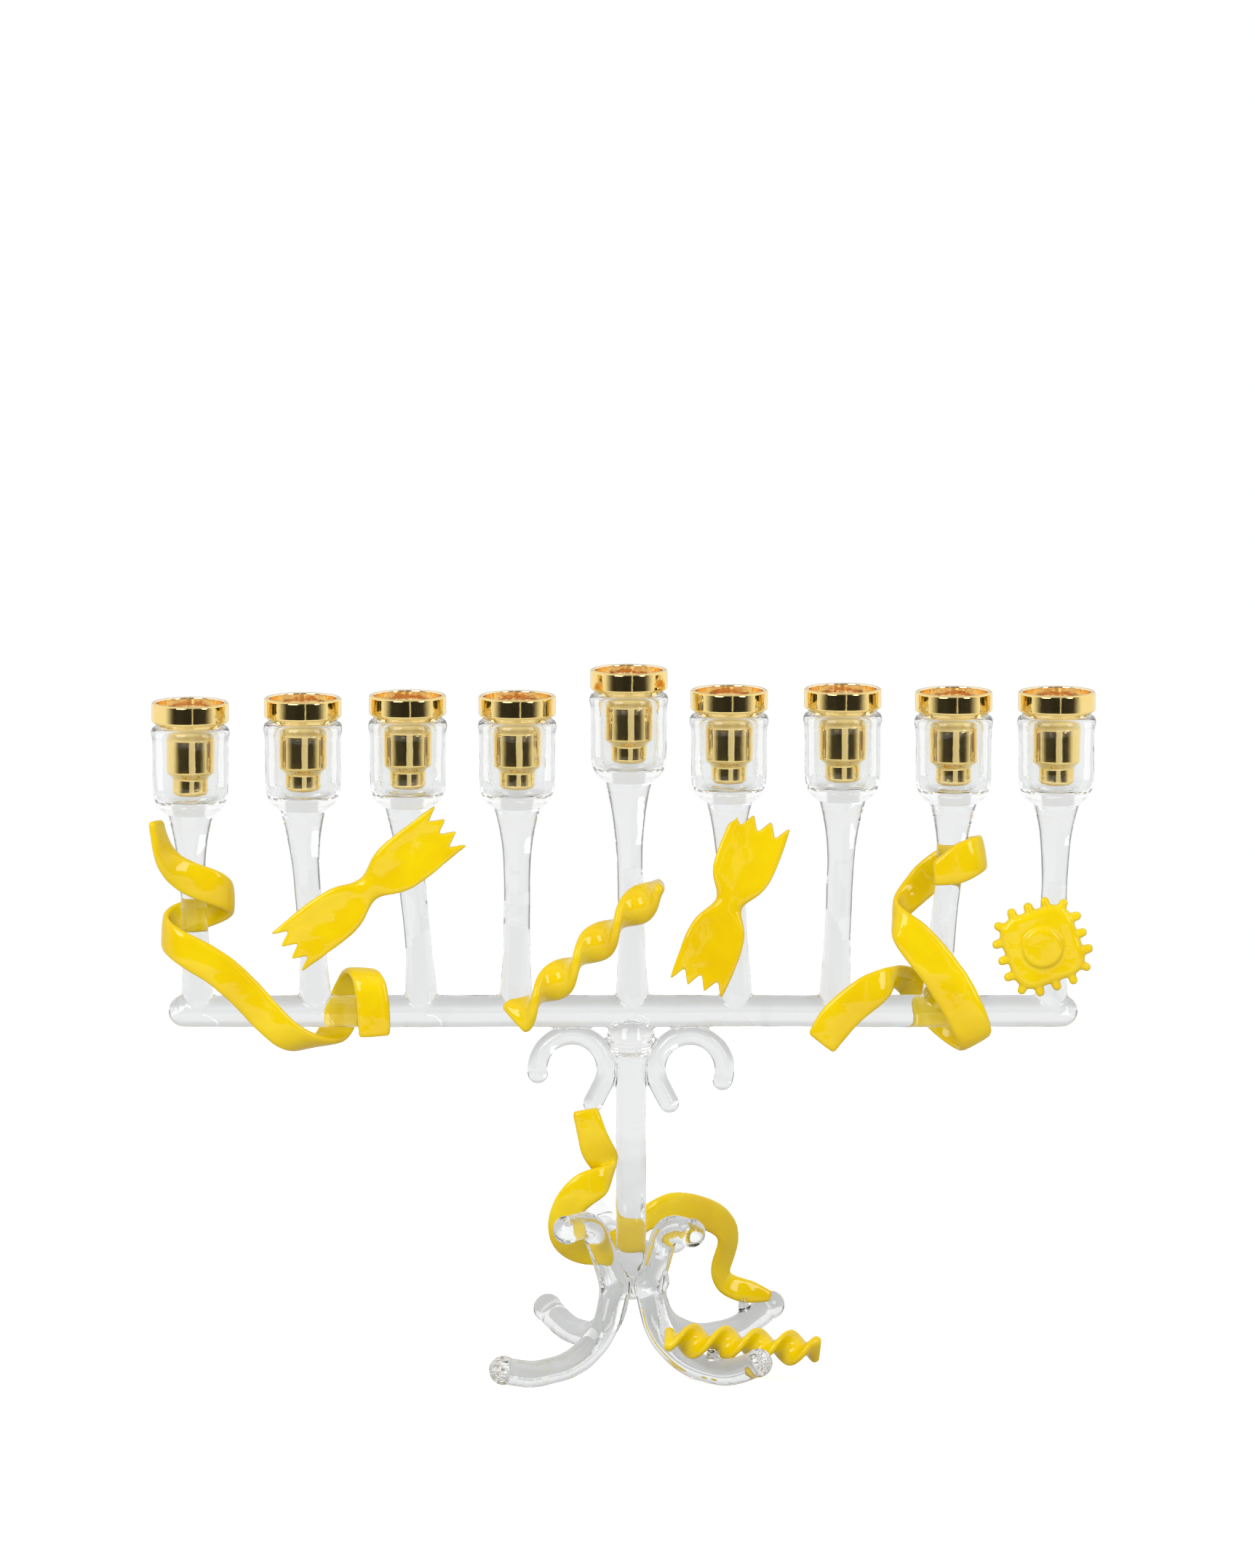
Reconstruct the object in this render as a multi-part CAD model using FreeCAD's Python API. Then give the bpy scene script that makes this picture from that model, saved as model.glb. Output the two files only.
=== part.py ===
import FreeCAD
import Part
import math
import os

# A nine-light menorah in clear glass rod with yellow glass pasta shapes and loose metal
# candle inserts. Millimetres, +Z up. The origin is on the table, under the middle of the
# object. The row of cups runs along X and the front of the object faces -Y.

os.makedirs("parts", exist_ok=True)

Vector = FreeCAD.Vector
X_AXIS = Vector(1, 0, 0)
Y_AXIS = Vector(0, 1, 0)
Z_AXIS = Vector(0, 0, 1)

# ---- driving dimensions -------------------------------------------------------------
BAR_R = 5.25
BAR_Z = 117.2
BAR_LEFT = -150.3
BAR_RIGHT = 145.1

TRUNK_X = 2.0           # the trunk stands this far right of the middle of the object
TRUNK_R = 4.95
TRUNK_BOTTOM = 21.5
COLLAR_R = 7.85
COLLAR_BOTTOM = 103.5

LEG_R = 4.45
LEG_TIP_R = 4.8
FOOT_FLAT = 0.35        # depth of the small flat that each foot stands on

SCROLL_R = 3.3

# every x below is measured from the axis of the trunk
# centre x of each cup, x of the foot of its stem, and height of the top of its metal ring
ROW = [
    (-142.5, -140.6, 218.6),
    (-106.1, -102.5, 220.1),
    (-72.2, -68.1, 221.0),
    (-36.8, -37.2, 220.8),
    (-0.7, 0.4, 229.4),
    (31.7, 34.0, 222.7),
    (68.4, 66.3, 223.2),
    (104.3, 99.7, 222.2),
    (137.6, 136.4, 222.2),
]

# metal insert: radii, and heights measured down from the top of the ring
RING_R = 12.5
RING_BORE_R = 10.95
RING_BORE_DEPTH = 6.6
RING_STRAIGHT = 6.1
RING_BEVEL_R = 10.3
RING_HEIGHT = 7.8
NECK_R = 8.5
NECK_END = 10.2
BARREL_R = 7.75
BARREL_BORE_R = 7.1
BARREL_START = 11.2
BARREL_END = 22.6
BARREL_BEVEL_END = 24.5
SOCKET_R = 5.75
SOCKET_BORE_R = 5.1
SOCKET_BORE_TOP = 23.6
SOCKET_BORE_END = 29.6
INSERT_END = 30.3

# glass cup: radii, and heights measured down from the top of the ring of its insert
CUP_GAP = 0.15          # air between the flange of the insert and the lip of the cup
CUP_R = 12.2
CUP_LIP_R = 12.7
CUP_BORE_R = 9.05
CUP_FLOOR = 32.4
CUP_BOTTOM = 36.4
CUP_FOOT_R = 7.6

PASTA_T = 2.6           # thickness of the flat yellow ribbons
SECTION_POINTS = 12     # control points round the section of a piece of pasta
SECTION_POWER = 0.62    # squareness of that section, under 1 for a flat with round edges
SECTION_SWELL = 1.04    # control points stand this much outside the section
TWIST_SECTIONS = 6      # sections to a half turn of a twisted strip
# half width, half thickness, half turns and first angle of each twist
CENTRE_TWIST = (6.2, 2.2, 3.4, 0.3)
BASE_TWIST = (6.0, 2.2, 4.4, 1.2)

WING_LEFT = (8.3, 8.6)  # half widths of the two wings of each bow tie
WING_RIGHT = (9.3, 9.8)
RAVIOLI_AT = Vector(133.2, -6.4, 139.5)
RAVIOLI_TURN = 20       # degrees

# half width and half thickness of the pinch of a bow tie
WAIST = 3.9
WAIST_HALF_T = 2.3

# V-shaped notches between the teeth of a bow tie
NOTCH_PLACES = (-0.62, 0.0, 0.62)
NOTCH_HALF_SHARE = 0.28
NOTCH_DEPTH = 4.4
NOTCH_ROUND = 0.3


# ---- shared construction ------------------------------------------------------------
def export(shape, name):
    shape.translated(Vector(TRUNK_X, 0, 0)).exportStep("parts/" + name + ".step")


def revolved(edges):
    """Turn a closed chain of edges in the XZ plane about the Z axis."""
    face = Part.Face(Part.Wire(Part.__sortEdges__(edges)))
    return face.revolve(Vector(0, 0, 0), Z_AXIS, 360)


def chain(points):
    """Straight edges through (radius, height) points, closed."""
    corners = [Vector(r, 0, z) for r, z in points]
    corners.append(corners[0])
    return [Part.LineSegment(a, b).toShape() for a, b in zip(corners, corners[1:])]


def rounded_path(points, share=0.45):
    """Straight runs joined by tangent arcs, each as large as its two runs allow."""
    edges = []
    start = points[0]
    for before, corner, after in zip(points, points[1:], points[2:]):
        back = before - corner
        ahead = after - corner
        reach = share * min(back.Length, ahead.Length)
        entry = corner + back.normalize() * reach
        leave = corner + ahead.normalize() * reach
        half = 0.5 * (entry + leave)
        turn = math.pi - back.getAngle(ahead)
        radius = reach / math.tan(turn / 2)
        to_centre = (half - corner).normalize()
        middle = corner + to_centre * (radius / math.cos(turn / 2) - radius)
        edges.append(Part.LineSegment(start, entry).toShape())
        edges.append(Part.Arc(entry, middle, leave).toShape())
        start = leave
    edges.append(Part.LineSegment(start, points[-1]).toShape())
    return Part.Wire(edges)


def swept_rod(path, start, heading, radius):
    """A round rod along a path of tangent edges, with square ends."""
    circle = Part.Wire([Part.Circle(start, heading, radius).toShape()])
    return path.makePipeShell([circle], True, False)


def section(centre, across, normal, half_width, half_thick, dish=0.0):
    """Control points round a flat oval, with its two edges raised by the dish."""
    points = []
    for step in range(SECTION_POINTS):
        angle = 2 * math.pi * step / SECTION_POINTS
        c = math.cos(angle)
        s = math.sin(angle)
        u = SECTION_SWELL * half_width * math.copysign(abs(c) ** SECTION_POWER, c)
        v = SECTION_SWELL * half_thick * math.copysign(abs(s) ** SECTION_POWER, s)
        points.append(centre + across * u + normal * (v + dish * (u / half_width) ** 2))
    return points


def loft(sections):
    """A smooth solid through (centre, across, normal, half width, half thickness, dish)."""
    rows = [section(*item) for item in sections]
    degree = 3
    spans = len(rows) - degree
    row_knots = list(range(spans + 1))
    row_mults = [degree + 1] + [1] * (spans - 1) + [degree + 1]
    ring_knots = list(range(SECTION_POINTS + 1))
    ring_mults = [1] * (SECTION_POINTS + 1)
    surface = Part.BSplineSurface()
    surface.buildFromPolesMultsKnots(rows, row_mults, ring_mults, row_knots, ring_knots,
                                     False, True, degree, degree)
    side = surface.toShape()
    rims = [edge for edge in side.Edges if edge.isClosed()]
    caps = [Part.Face(Part.Wire([edge])) for edge in rims]
    shell = Part.makeShell([side] + caps)
    shell.sewShape()
    solid = Part.makeSolid(shell)
    if solid.Volume < 0:
        solid.reverse()
    return solid


def rounded_ends(sections, along_start, along_end):
    """Add smaller sections past each end, so that the ends are fire-polished."""
    result = list(sections)
    for place, way in ((0, -1 * along_start), (-1, along_end)):
        centre, across, normal, width, thick = sections[place]
        for reach, narrow, thin in ((0.55, 0.12, 0.95), (0.95, 0.45, 0.62)):
            cap = (centre + way * (reach * thick), across, normal, width - narrow * thick, thin * thick)
            result.insert(0 if place == 0 else len(result), cap)
    return result


def between(values, share):
    """A smooth step from the second of four neighbouring values to the third."""
    a, b, c, d = values
    linear = c - a
    square = 2 * a - 5 * b + 4 * c - d
    cube = 3 * b - a - 3 * c + d
    return b + 0.5 * (linear * share + square * share ** 2 + cube * share ** 3)


def denser(points):
    """The same chain of points with one more, smoothly placed, in every span."""
    padded = [2 * points[0] - points[1]] + points + [2 * points[-1] - points[-2]]
    result = []
    for i in range(len(points) - 1):
        result.append(points[i])
        result.append(between(padded[i:i + 4], 0.5))
    result.append(points[-1])
    return result


def ribbon(edge_pairs, thickness=PASTA_T):
    """A flat ribbon through pairs of points, one on each long edge."""
    edge_a = denser([Vector(*a) for a, b in edge_pairs])
    edge_b = denser([Vector(*b) for a, b in edge_pairs])
    last = len(edge_a) - 1
    centres = [0.5 * (a + b) for a, b in zip(edge_a, edge_b)]
    sections = []
    ways = []
    for i, centre in enumerate(centres):
        along = (centres[min(i + 1, last)] - centres[max(i - 1, 0)]).normalize()
        width = edge_a[i] - edge_b[i]
        half_width = width.Length / 2
        across = width.normalize()
        normal = across.cross(along).normalize()
        ways.append(along)
        sections.append((centre, across, normal, half_width, thickness / 2))
    return loft(rounded_ends(sections, ways[0], ways[-1]))


def frame_between(start, end):
    """Unit vectors along, across (in the XZ plane) and out of the front of a straight axis."""
    along = (end - start).normalize()
    across = Vector(-along.z, 0, along.x).normalize()
    out = along.cross(across).normalize()
    return along, across, out


# ---- clear glass --------------------------------------------------------------------
def make_crossbar():
    left = Vector(BAR_LEFT + BAR_R, 0, BAR_Z)
    right = Vector(BAR_RIGHT - BAR_R, 0, BAR_Z)
    body = Part.makeCylinder(BAR_R, right.x - left.x, left, X_AXIS)
    ends = [Part.makeSphere(BAR_R, point) for point in (left, right)]
    return body.fuse(ends)


def make_stem(cup_x, foot_x, ring_top, crossbar):
    """An upright rod, flared into the bar below and into the cup above."""
    top = ring_top - CUP_BOTTOM
    base = BAR_Z + 1.2
    length = top - base
    # (share of the way up, radius)
    profile = [
        (0.0, 5.2),
        (0.10, 5.15),
        (0.24, 4.6),
        (0.50, 4.3),
        (0.72, 4.5),
        (0.88, 5.7),
        (1.0, CUP_FOOT_R),
    ]
    circles = []
    for share, radius in profile:
        lean = 0.5 - 0.5 * math.cos(math.pi * share)
        centre = Vector(foot_x + (cup_x - foot_x) * lean, 0, base + length * share)
        circles.append(Part.Wire([Part.Circle(centre, Z_AXIS, radius).toShape()]))
    return Part.makeLoft(circles, True, False).cut(crossbar)


def make_cup(cup_x, ring_top):
    """A thick open cup with a rounded lip, a round floor and a round outer bottom."""
    lip = -(RING_HEIGHT + CUP_GAP)
    shoulder = lip - 4.2
    inner_curve = 5.0
    outer_curve = 8.0
    lip_mid = 0.5 * (CUP_BORE_R + CUP_LIP_R)
    points = [
        (0, -CUP_FLOOR),
        (CUP_BORE_R - inner_curve, -CUP_FLOOR),
        (CUP_BORE_R, -CUP_FLOOR + inner_curve),
        (CUP_BORE_R, lip - 1.2),
        (lip_mid, lip),
        (CUP_LIP_R, lip - 1.8),
        (CUP_R, shoulder),
        (CUP_R, -CUP_BOTTOM + outer_curve),
        (CUP_FOOT_R, -CUP_BOTTOM),
        (0, -CUP_BOTTOM),
    ]
    spots = [Vector(r, 0, z) for r, z in points]
    bend = math.sqrt(0.5)
    floor_mid = Vector(CUP_BORE_R - inner_curve * (1 - bend), 0, -CUP_FLOOR + inner_curve * (1 - bend))
    lip_in = Vector(CUP_BORE_R + 0.55, 0, lip - 0.3)
    lip_out = Vector(CUP_LIP_R - 0.45, 0, lip - 0.5)
    skirt = CUP_R - CUP_FOOT_R
    bottom_mid = Vector(CUP_R - skirt * (1 - bend), 0, -CUP_BOTTOM + outer_curve * (1 - bend))
    lines = [(0, 1), (2, 3), (5, 6), (6, 7), (8, 9), (9, 0)]
    edges = [Part.LineSegment(spots[i], spots[j]).toShape() for i, j in lines]
    arcs = [(1, floor_mid, 2), (3, lip_in, 4), (4, lip_out, 5), (7, bottom_mid, 8)]
    edges += [Part.Arc(spots[i], middle, spots[j]).toShape() for i, middle, j in arcs]
    cup = revolved(edges)
    cup.translate(Vector(cup_x, 0, ring_top))
    return cup


def make_insert(cup_x, ring_top):
    """A metal candle insert: a wide ring, a barrel and a narrow socket, closed below."""
    wall = SOCKET_R - SOCKET_BORE_R
    profile = [
        (0, -INSERT_END),
        (SOCKET_R - 0.8, -INSERT_END),
        (SOCKET_R, -INSERT_END + 0.8),
        (SOCKET_R, -BARREL_BEVEL_END),
        (BARREL_R, -BARREL_END),
        (BARREL_R, -BARREL_START),
        (NECK_R, -NECK_END),
        (NECK_R, -RING_HEIGHT),
        (RING_BEVEL_R, -RING_HEIGHT),
        (RING_R, -RING_STRAIGHT),
        (RING_R, -0.4),
        (RING_R - 0.4, 0),
        (RING_BORE_R + 0.3, 0),
        (RING_BORE_R, -0.3),
        (RING_BORE_R, -RING_BORE_DEPTH),
        (BARREL_BORE_R, -RING_BORE_DEPTH),
        (BARREL_BORE_R, -BARREL_END + wall),
        (SOCKET_BORE_R, -SOCKET_BORE_TOP),
        (SOCKET_BORE_R, -SOCKET_BORE_END),
        (0, -SOCKET_BORE_END),
    ]
    insert = revolved(chain(profile))
    insert.translate(Vector(cup_x, 0, ring_top))
    return insert


def make_trunk(crossbar):
    height = BAR_Z - TRUNK_BOTTOM - TRUNK_R
    start = Vector(0, 0, TRUNK_BOTTOM + TRUNK_R)
    column = Part.makeCylinder(TRUNK_R, height, start, Z_AXIS)
    foot = Part.makeSphere(TRUNK_R, start)
    return column.fuse(foot).cut(crossbar)


def make_collar(trunk, crossbar):
    """A bead with a sharp ridge and a soft lower ring, round the top of the trunk."""
    low = COLLAR_BOTTOM
    profile = [
        (0, low),
        (5.6, low),
        (6.9, low + 1.4),
        (6.6, low + 2.2),
        (COLLAR_R, low + 3.4),
        (COLLAR_R, low + 5.2),
        (7.3, low + 7.4),
        (7.0, low + 9.6),
        (0, low + 9.6),
    ]
    return revolved(chain(profile)).cut(crossbar).cut(trunk)


def make_scroll(side, crossbar, trunk):
    """A rod curled over from the outside, past the bar and down beside the trunk."""
    centre_x = 19.2
    centre_z = 98.1
    curl = 11.2
    tail = 7.0
    outer = math.radians(188 if side < 0 else 200)
    inner = math.radians(-27)

    def spot(angle):
        return Vector(side * (centre_x - curl * math.cos(angle)), 0, centre_z + curl * math.sin(angle))

    start = spot(outer)
    top = spot(0.5 * (outer + inner))
    end = spot(inner)
    heading = Vector(side * math.sin(-inner), 0, -math.cos(inner))
    tip = end + heading * tail
    arc = Part.Arc(start, top, end).toShape()
    line = Part.LineSegment(end, tip).toShape()
    path = Part.Wire([arc, line])
    tangent = arc.tangentAt(arc.FirstParameter)
    body = swept_rod(path, start, tangent, SCROLL_R)
    for point, way in ((start, -1 * tangent), (tip, heading)):
        body = body.fuse(Part.makeSphere(SCROLL_R, point, way, 0, 90, 360))
    return body.cut(crossbar).cut(trunk)


# place of the tip of each foot (x, y, z) and the reach and height of its upper curl
LEGS = {
    "leg_front_left": ((-41.0, -47.5, 8.2), 31.5, 49.5),
    "leg_front_right": ((41.0, -45.5, 10.2), 29.0, 48.0),
    "leg_back_left": ((-27.5, 49.0, 8.6), 33.0, 46.5),
    "leg_back_right": ((46.0, 44.0, 10.8), 19.0, 39.0),
}


def make_leg(foot, curl_reach, curl_height, trunk):
    """A rod that curls out above, runs down beside the trunk and sweeps out to its foot."""
    reach = math.hypot(foot[0], foot[1])
    out = Vector(foot[0] / reach, foot[1] / reach, 0)
    hug = 8.9
    floor_z = LEG_R - FOOT_FLAT
    # (distance out from the axis, height) of the corners of the path
    corners = [
        (curl_reach, curl_height),
        (curl_reach - 12, curl_height + 0.5),
        (hug + 3, curl_height - 14),
        (hug - 0.6, 26.5),
        (hug + 4.2, 12.5),
        (0.44 * reach, floor_z + 0.6),
        (0.76 * reach, floor_z),
        (reach, foot[2]),
    ]
    points = [out * r + Z_AXIS * z for r, z in corners]
    body = swept_rod(rounded_path(points), points[0], points[1] - points[0], LEG_R)
    for point, beside in ((points[0], points[1]), (points[-1], points[-2])):
        body = body.fuse(Part.makeSphere(LEG_TIP_R, point, point - beside, -90, 90, 360))
    above = Part.makeBox(80, 80, 100, Vector(-40, -40, 0))
    above.translate(out * (0.5 * reach))
    return body.common(above).cut(trunk)


# ---- yellow glass pasta -------------------------------------------------------------
RIBBON_LEFT = [
    ((-151.5, -5, 179.5), (-155, -12, 180)),
    ((-149.5, -5, 173.5), (-154, -12, 172.5)),
    ((-145.5, -5.5, 169), (-152, -11, 164.5)),
    ((-139, -5.2, 166), (-145.5, -6.4, 157)),
    ((-132.5, -4.3, 163.5), (-134.5, -4.8, 152.5)),
    ((-129.5, 0, 159.5), (-129, 0.5, 149)),
    ((-134, 5, 156), (-134, 5.5, 145)),
    ((-141.5, 6, 153.5), (-141.5, 6.2, 142.5)),
    ((-148.5, 4, 151.5), (-148.5, 4.5, 140.5)),
    ((-151, -0.5, 148.5), (-151.5, 0, 137.5)),
    ((-146, -5, 145), (-147.5, -5, 134)),
    ((-137, -5.6, 140.5), (-140.5, -5.6, 129.5)),
    ((-129, -6.2, 135.5), (-135, -6.2, 126)),
    ((-121, -6.5, 128), (-128.5, -6.5, 120)),
    ((-114, -6.5, 120), (-121.5, -6.5, 112.5)),
    ((-107, -6.5, 113), (-113.5, -5.2, 105.5)),
    ((-98.5, -4, 108.5), (-107.5, 2.5, 104.5)),
    ((-92, 3, 107.5), (-103, 7.5, 107.5)),
    ((-89, 6.6, 113), (-100.5, 7.2, 113)),
    ((-87, 6.8, 120.5), (-98, 6.8, 120.5)),
    ((-84.5, 5, 127.5), (-95, 5, 127.5)),
    ((-82, -0.5, 130.3), (-92.5, -0.5, 130.8)),
    ((-79.5, -5.2, 127.5), (-90, -5.5, 128)),
    ((-78.3, -6.5, 120), (-88.8, -6.6, 120)),
    ((-78, -6.6, 111.5), (-88.3, -6.8, 111)),
]

RIBBON_RIGHT = [
    ((99, -5.4, 168), (99.5, -5.4, 159.5)),
    ((104.5, -5.4, 172.5), (106.5, -5.4, 160)),
    ((110.5, -4, 175), (113, -4.2, 163)),
    ((113, 0.5, 175), (114.5, 0.5, 164)),
    ((109, 5, 173.5), (110.5, 5, 161.5)),
    ((102, 5.8, 171), (104, 5.8, 159)),
    ((93.5, 6, 165), (98.5, 6, 155)),
    ((88, 4, 158.5), (92, 4.5, 149.5)),
    ((85.5, 0, 154), (86, 0.5, 144.5)),
    ((89, -4.5, 151), (85, -4.5, 141.5)),
    ((95.5, -5.7, 146.5), (88, -5.9, 136.5)),
    ((102.5, -6.2, 139), (94, -6.2, 129)),
    ((109.5, -6.5, 129.5), (99.5, -6.5, 120.5)),
    ((114.5, -6.5, 119.5), (104, -6.5, 112.5)),
    ((117, -4.5, 111.5), (107, -4, 105.5)),
    ((114.5, 2, 110), (104.5, 2.5, 105)),
    ((107.5, 6, 116.5), (98.5, 6.4, 108.5)),
    ((100, 6.8, 124), (91.5, 6.9, 116)),
    ((94, 5.5, 129.5), (87, 5.8, 122.5)),
    ((88, 1, 132), (84, 1.2, 125)),
    ((82, -4, 132), (84.5, -4, 123.5)),
    ((74.5, -6, 129.5), (80, -6, 119.5)),
    ((66.5, -6.4, 123.5), (74.5, -6.4, 115)),
    ((61, -6.4, 117.5), (69.7, -6.4, 109.5)),
    ((58, -6.4, 112), (66.5, -6.4, 105.5)),
]

BASE_RIBBON = [
    ((-18.7, -5, 83.5), (-10.3, -5, 85)),
    ((-17.2, -5.5, 76), (-7.8, -5, 78)),
    ((-15.5, -5, 69.5), (-5.4, -3.5, 73)),
    ((-11.5, -3.5, 64), (-4.3, -2, 69.5)),
    ((-7.8, -4.5, 60), (-5.2, -3.5, 67.8)),
    ((-8.5, -7.5, 57.5), (-10.5, -7, 67)),
    ((-12.5, -8.5, 55), (-18, -8, 64.5)),
    ((-16.5, -8, 51), (-24.2, -7.5, 57.5)),
    ((-17.2, -6.5, 46.5), (-27, -6, 49)),
    ((-15.5, -3, 42.5), (-26, -3, 41)),
    ((-12.5, 1.5, 41), (-20.5, 2, 34.5)),
    ((-9, 5.5, 41.5), (-12.5, 6, 31.8)),
    ((-3.5, 7.2, 44.5), (-4.5, 7.8, 33.5)),
    ((1.5, 7.6, 49), (2.2, 8.2, 37.5)),
    ((6.8, 9.5, 52.5), (7.2, 10, 41)),
    ((13.5, 14, 54.5), (13.7, 14.5, 43.8)),
    ((21.5, 19.5, 52.5), (20, 20, 42)),
    ((29, 26, 48.5), (26.3, 26, 38.5)),
    ((34, 32, 42), (29, 28.5, 35.5)),
    ((35.2, 35.5, 34), (28, 30.5, 31)),
    ((33.3, 37.5, 27), (26.5, 32.5, 25)),
    ((32, 38.5, 22.8), (28.3, 34.5, 18)),
    ((36.2, 39, 20.8), (33.6, 36.6, 14)),
    ((41, 39.5, 19.3), (39.2, 38, 12.6)),
    ((45.5, 40, 16.6), (44.3, 39, 12.8)),
]


def make_twist(start, end, half_width, half_thick, half_turns, first_angle):
    """A flat strip twisted to the left about its own straight axis."""
    along, across, out = frame_between(start, end)
    count = math.ceil(TWIST_SECTIONS * half_turns)
    sections = []
    for i in range(count + 1):
        share = i / count
        angle = first_angle + math.pi * half_turns * share
        c = math.cos(angle)
        s = math.sin(angle)
        centre = start + (end - start) * share
        sections.append((centre, across * c - out * s, out * c + across * s, half_width, half_thick))
    return loft(rounded_ends(sections, along, along))


def make_bow_tie(start, end, wings):
    """A pinched square of pasta with a toothed edge at each end."""
    along, across, out = frame_between(start, end)
    length = (end - start).Length
    # (share of the length, half width as a share of the wing, half thickness, dish)
    wing = [
        (0.0, 0.96, 1.25, 0.8),
        (0.15, 1.02, 1.35, 1.4),
        (0.29, 1.03, 1.45, 1.6),
        (0.385, 0.88, 1.6, 1.4),
        (0.45, 0.57, 1.9, 0.6),
    ]
    sections = []
    for share, wide, half_thick, dish in wing:
        centre = start + along * (length * share)
        sections.append((centre, across, out, wings[0] * wide, half_thick, dish))
    sections.append((start + along * (length / 2), across, out, WAIST, WAIST_HALF_T, -0.9))
    for share, wide, half_thick, dish in reversed(wing):
        centre = end - along * (length * share)
        sections.append((centre, across, out, wings[1] * wide, half_thick, dish))
    body = loft(sections)

    notches = []
    for tip, half_width, inward in ((start, wings[0], along), (end, wings[1], -1 * along)):
        mouth = across * (half_width * NOTCH_HALF_SHARE)
        for place in NOTCH_PLACES:
            middle = tip + across * (half_width * place)
            apex = middle + inward * NOTCH_DEPTH
            blunt = across * NOTCH_ROUND
            outer = middle - inward * NOTCH_DEPTH
            corners = [outer - 2 * mouth, apex - blunt, apex + blunt, outer + 2 * mouth]
            floor = [corner - out * 6 for corner in corners]
            notches.append(Part.Face(Part.makePolygon(floor + floor[:1])).extrude(out * 14))
    return body.cut(notches)


def make_ravioli(centre, turn):
    """A square plate with a raised middle and a nub at every crimp of its edge."""
    half = 12.2
    corner = 6.5
    plate_t = 4.0
    rim_round = 1.9
    nub_r = 1.4
    nub_root = 9.0
    nub_at = 13.8
    corner_root = 9.9
    corner_at = 15.8
    spacing = 5.7
    pillow_r = 6.6
    pillow_height = 1.2
    plate = Part.makeBox(2 * half, plate_t, 2 * half, Vector(-half, -plate_t / 2, -half))
    uprights = [e for e in plate.Edges if abs(e.tangentAt(e.FirstParameter).y) > 0.9]
    plate = plate.makeFillet(corner, uprights)
    rims = [e for e in plate.Edges if abs(e.tangentAt(e.FirstParameter).y) < 0.1]
    plate = plate.makeFillet(rim_round, rims)
    nubs = []
    for side in range(4):
        angle = side * math.pi / 2
        outward = Vector(-math.sin(angle), 0, math.cos(angle))
        sideways = Vector(math.cos(angle), 0, math.sin(angle))
        diagonal = (outward + sideways).normalize()
        spots = [(sideways * place, nub_root, nub_at, outward) for place in (-spacing, 0.0, spacing)]
        spots.append((Vector(0, 0, 0), corner_root, corner_at, diagonal))
        for foot, root, reach, way in spots:
            nubs.append(Part.makeCylinder(nub_r, reach - root, foot + way * root, way))
            nubs.append(Part.makeSphere(nub_r, foot + way * reach))
    pillow = Part.makeCylinder(pillow_r, plate_t / 2 + pillow_height, Vector(0, 0, 0), -1 * Y_AXIS)
    crown = [e for e in pillow.Edges if e.isClosed() and e.BoundBox.YMin < -plate_t / 2 - 0.5]
    pillow = pillow.makeFillet(pillow_height - 0.2, crown)
    body = plate.fuse(nubs + [pillow])
    body.rotate(Vector(0, 0, 0), Y_AXIS, -turn)
    body.translate(centre)
    return body


# ends and radius of each clear peg that stands between a rod and a pasta shape
PEGS = [
    ((1.0, -3.5, 155.0), (1.5, -7.0, 153.5), 2.3),
    ((26.5, -29.0, 7.0), (26.5, -31.0, 11.5), 2.2),
    ((37.2, 36.0, 9.0), (37.0, 37.6, 15.0), 1.8),
]


def make_pegs(neighbours):
    """Short clear pegs, coped to whatever they join."""
    pegs = []
    for low, high, radius in PEGS:
        start = Vector(*low)
        way = Vector(*high) - start
        peg = Part.makeCylinder(radius, way.Length, start, way)
        pegs.append(peg.cut(neighbours))
    return Part.makeCompound([solid for peg in pegs for solid in peg.Solids])


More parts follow.
